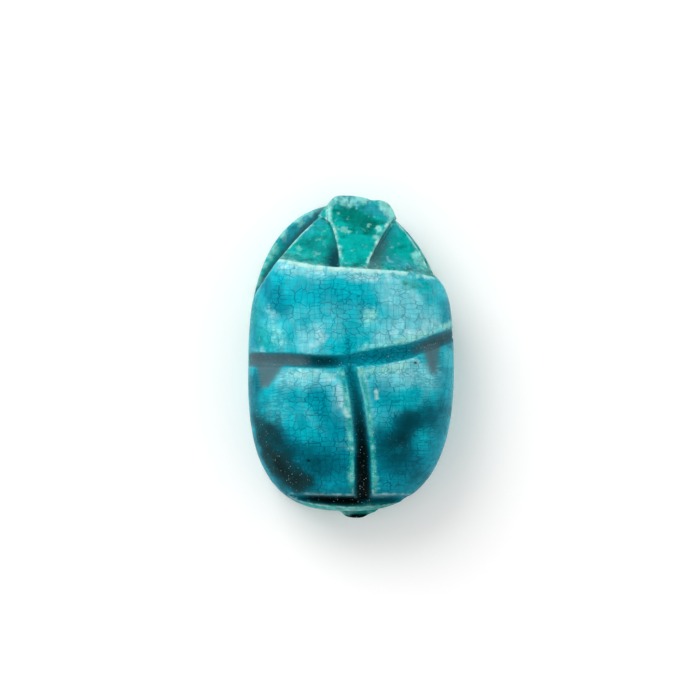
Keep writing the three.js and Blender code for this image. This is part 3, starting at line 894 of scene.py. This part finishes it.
def glazeMaterial():
    n = Nodes("turquoise glaze")
    spacing, length, width = glaze["crackSpacing"], glaze["crackLength"], glaze["crackWidth"]
    place = n.make("TexCoord").outputs["Object"]
    place = n.make("VectorMath", {0: place, "Scale": 1 / mm}, operation="SCALE").outputs[0]
    wander = n.make("TexNoise", {"Vector": place, "Scale": 0.8, "Detail": 4.0}).outputs["Color"]
    wander = n.make("VectorMath", {0: wander, 1: (0.5, 0.5, 0.5)}, operation="SUBTRACT").outputs[0]
    wander = n.make("VectorMath", {0: wander, "Scale": glaze["crackWander"]}, operation="SCALE").outputs[0]
    bent = n.make("VectorMath", {0: place, 1: wander}, operation="ADD").outputs[0]
    cloud, grain = n.noise(place, 2.4, 4.0), n.noise(place, 0.5, 6.0, 7.0)
    fine = n.noise(place, 0.13, 2.0, 3.0)

    def cells(sizes, width, dimensions="2D"):
        scale = [1 / size for size in sizes]
        stretched = n.make("VectorMath", {0: bent, 1: scale}, operation="MULTIPLY").outputs[0]
        inputs = {"Vector": stretched, "Scale": 1.0, "Randomness": 0.65}
        settings = {"voronoi_dimensions": dimensions}
        edge = n.make("TexVoronoi", inputs, feature="DISTANCE_TO_EDGE", **settings).outputs["Distance"]
        tone = n.make("TexVoronoi", inputs, **settings).outputs["Color"]
        share = width / min(sizes)
        return n.ramp(edge, share, 0.4 * share), n.make("SeparateColor", {0: tone}).outputs[0]

    aroundLines, _ = cells((1.3 * spacing, 1.6 * spacing, 1.3 * spacing), width, "3D")
    steep = n.mask("steep")

    def cracks(sizes, width):          # on top the cells are seen from above, and run one way
        lines, tone = cells((*sizes, 1), width)
        return n.math("MULTIPLY", lines, n.math("SUBTRACT", 1.0, steep)), tone

    def patchy(value, size, seed, start=0.36, end=0.54):
        return n.math("MULTIPLY", value, n.ramp(n.noise(place, size, 2.0, seed), start, end))

    def painted(name, amount=0.5, breakUp=cloud):     # a painted mask with a ragged edge
        shaken = n.math("ADD", n.mask(name), n.math("MULTIPLY", n.math("SUBTRACT", breakUp, 0.5), amount))
        return n.math("MULTIPLY", n.ramp(shaken, 0.05, 0.95), n.ramp(n.mask(name), 0.0, 0.15))

    def over(colour, name, share, strength=1.0):
        return n.mix(n.math("MULTIPLY", share, strength), colour, linear(glaze[name]))

    upright, tone = cracks((spacing, length), width)
    level, levelTone = cracks((length, 0.8 * spacing), width)
    threads, _ = cracks((2.4 * length, 0.45 * spacing), 1.1 * width)
    green = painted("green", 0.3)

    colour = over(linear(glaze["turquoise"]), "light", n.ramp(cloud, 0.42, 0.7), 0.42)
    colour = over(colour, "turquoise", n.ramp(grain, 0.4, 0.65), 0.6)
    colour = over(colour, "light", painted("light"), 0.8)
    bare = n.ramp(n.noise(place, 0.9, 6.0, 23.0), 0.4, 0.62)
    colour = over(colour, "thin", n.math("MULTIPLY", bare, painted("thin", 0.9, grain)), 0.75)
    colour = over(colour, "thin", n.math("MULTIPLY", bare, painted("light")), 0.22)
    colour = over(colour, "deep", painted("deep"))
    colour = over(colour, "low", painted("low", 0.7))
    colour = over(colour, "green", green)
    flat = n.make("VectorMath", {0: place, 1: (1, 1.7, 0.5)}, operation="MULTIPLY").outputs[0]
    streaks = n.noise(flat, 1.1, 6.0, 11.0)
    colour = over(colour, "darkGreen", n.math("MULTIPLY", n.ramp(streaks, 0.5, 0.68), green), 0.42)
    colour = over(colour, "darkGreen", painted("darkGreen", 2.2, streaks), 0.8)
    colour = over(colour, "blue", painted("blue", 0.8, grain), 0.8)
    flakes = n.ramp(n.noise(place, 0.7, 4.0, 19.0), 0.58, 0.72)
    colour = over(colour, "pale", n.math("MULTIPLY", flakes, green), 0.5)
    colour = over(colour, "pale", painted("pale", 1.2, grain), 0.85)
    shade = n.math("ADD", n.ramp(tone, 0, 1, 0.46, 0.54), n.ramp(levelTone, 0, 1, 0.46, 0.54))
    shade = n.math("MULTIPLY", shade, n.ramp(grain, 0.25, 0.75, 0.88, 1.1))
    for scale, seed in (((1, 7, 3), 61.0), ((7, 1, 5), 67.0)):     # brushed both ways
        brushed = n.make("VectorMath", {0: bent, 1: scale}, operation="MULTIPLY").outputs[0]
        shade = n.math("MULTIPLY", shade, n.ramp(n.noise(brushed, 2.0, 3.0, seed), 0.3, 0.7, 0.92, 1.07))
    grey = n.make("CombineColor", {0: shade, 1: shade, 2: shade}).outputs[0]
    colour = n.mix(1.0, colour, grey, "MULTIPLY")
    lines = n.math("MAXIMUM", patchy(upright, 1.6, 31.0), patchy(level, 1.8, 43.0))
    onSides = n.math("MULTIPLY", aroundLines, n.math("MULTIPLY", steep, 0.8))
    lines = n.math("MAXIMUM", lines, patchy(onSides, 2.0, 83.0))
    threads = n.math("MULTIPLY", threads, n.ramp(n.mask("lined"), 0.1, 0.9, 0.0, 0.8))
    lines = n.math("MAXIMUM", lines, threads)
    lines = n.math("MULTIPLY", lines, n.math("SUBTRACT", 1.0, n.math("MULTIPLY", green, 0.8)))
    inDeep = n.math("ADD", n.mask("deep"), n.mask("low"), True)
    colour = over(colour, "crackLine", lines, 0.5)
    colour = over(colour, "crackShade", n.math("MULTIPLY", lines, inDeep), 0.4)
    colour = over(colour, "edge", painted("edge", 1.4, grain), 0.8)
    # dark pooled glaze, with painted shade in the recess under the back and towards the tail
    colour = over(colour, "pool", painted("pool", 0.5))
    colour = over(colour, "haze", painted("haze", 0.8), 0.8)
    colour = over(colour, "soot", painted("soot", 0.7), 0.9)
    colour = over(colour, "black", painted("black", 0.5))
    gritty = n.mask("grit")
    colour = over(colour, "black", n.math("MULTIPLY", n.ramp(fine, 0.4, 0.34), gritty), 0.5)
    grains = n.make("TexVoronoi", {"Vector": place, "Scale": 1 / glaze["speckSpacing"]})
    chosen = n.ramp(n.make("SeparateColor", {0: grains.outputs["Color"]}).outputs[0], 0.66, 0.8)
    dots = n.math("MULTIPLY", n.ramp(grains.outputs["Distance"], 0.32, 0.14), chosen)
    dots = n.math("MULTIPLY", dots, n.ramp(grain, 0.42, 0.6, 0.15, 1.0))
    colour = over(colour, "speck", n.math("MULTIPLY", dots, gritty), 0.7)
    n.link(colour, n.shader.inputs["Base Color"])
    dark = n.math("ADD", n.mask("pool"), n.math("ADD", n.mask("soot"), n.mask("black")), True)
    smooth, dull = glaze["roughness"]
    wear = n.math("ADD", grain, n.math("MULTIPLY", dark, 0.4))
    n.link(n.ramp(wear, 0.3, 1.0, smooth, dull), n.shader.inputs["Roughness"])
    n.link(glaze["gloss"], n.shader.inputs["Specular IOR Level"])
    n.link(linear(glaze["glossTint"]), n.shader.inputs["Specular Tint"])
    relief = n.math("SUBTRACT", n.math("MULTIPLY", grain, 0.5), n.math("MULTIPLY", lines, 0.5))
    relief = n.math("ADD", relief, n.math("MULTIPLY", n.math("MULTIPLY", fine, gritty), 0.8))
    bump = n.make("Bump", {"Strength": 0.35, "Distance": glaze["relief"] * mm, "Height": relief})
    n.link(bump.outputs[0], n.shader.inputs["Normal"])
    return n.material


amulet.data.materials.append(glazeMaterial())
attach(amulet, "root")
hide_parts("scarab")
print("glaze done")

studio = {
    "floorSize": 1.2,                # metres
    "floorColour": (252, 252, 251),
    "horizonStrength": 1.4,          # the soft light comes mostly from low all round
    "zenithStrength": 0.62,
    "keyStrength": 1.2,              # watts
    "keyPlace": (-0.22, 0.3, 0.3),
    "keySize": 0.3,
    "lens": 300,
    "skyFade": (0.2, 0.85),          # from the horizon's light to the zenith's
    "pictureWidth": 63.5,            # millimetres seen across the picture, at the belly's height
    "pictureCentre": (-0.09, 0.63),
}


def makeFloor():
    half = studio["floorSize"] / 2
    mesh = bpy.data.meshes.new("floor")
    corners = [(-half, -half, 0), (half, -half, 0), (half, half, 0), (-half, half, 0)]
    mesh.from_pydata(corners, [], [(0, 1, 2, 3)])
    floor = bpy.data.objects.new("floor", mesh)
    bpy.context.scene.collection.objects.link(floor)
    n = Nodes("pale floor")
    n.shader.inputs["Base Color"].default_value = linear(studio["floorColour"])
    n.shader.inputs["Roughness"].default_value = 0.8
    mesh.materials.append(n.material)


def makeLight():
    light = bpy.data.lights.new("key", "AREA")
    light.energy, light.size = studio["keyStrength"], studio["keySize"]
    lamp = bpy.data.objects.new("key", light)
    lamp.location = studio["keyPlace"]
    lamp.rotation_euler = (-lamp.location).to_track_quat("-Z", "Y").to_euler()
    bpy.context.scene.collection.objects.link(lamp)
    world = bpy.data.worlds.new("soft sky")
    world.use_nodes = True
    tree = world.node_tree
    direction = tree.nodes.new("ShaderNodeTexCoord").outputs["Generated"]
    split = tree.nodes.new("ShaderNodeSeparateXYZ")
    fade = tree.nodes.new("ShaderNodeMapRange")
    strengths = (studio["horizonStrength"], studio["zenithStrength"])
    for socket, value in enumerate((*studio["skyFade"], *strengths), 1):
        fade.inputs[socket].default_value = value
    tree.links.new(direction, split.inputs[0])
    tree.links.new(split.outputs["Z"], fade.inputs[0])
    tree.nodes["Background"].inputs["Color"].default_value = (1, 1, 1, 1)
    tree.links.new(fade.outputs[0], tree.nodes["Background"].inputs["Strength"])
    bpy.context.scene.world = world


def makeCamera():
    camera = bpy.data.objects.new("camera", bpy.data.cameras.new("camera"))
    camera.data.lens = studio["lens"]
    distance = studio["pictureWidth"] * mm * studio["lens"] / camera.data.sensor_width
    x, y = studio["pictureCentre"]
    camera.location = (x * mm, y * mm, body["belly"] * mm + distance)
    bpy.context.scene.collection.objects.link(camera)
    bpy.context.scene.camera = camera


makeFloor()
makeLight()
makeCamera()
bpy.context.scene.view_settings.view_transform = "Standard"
print("studio ready")
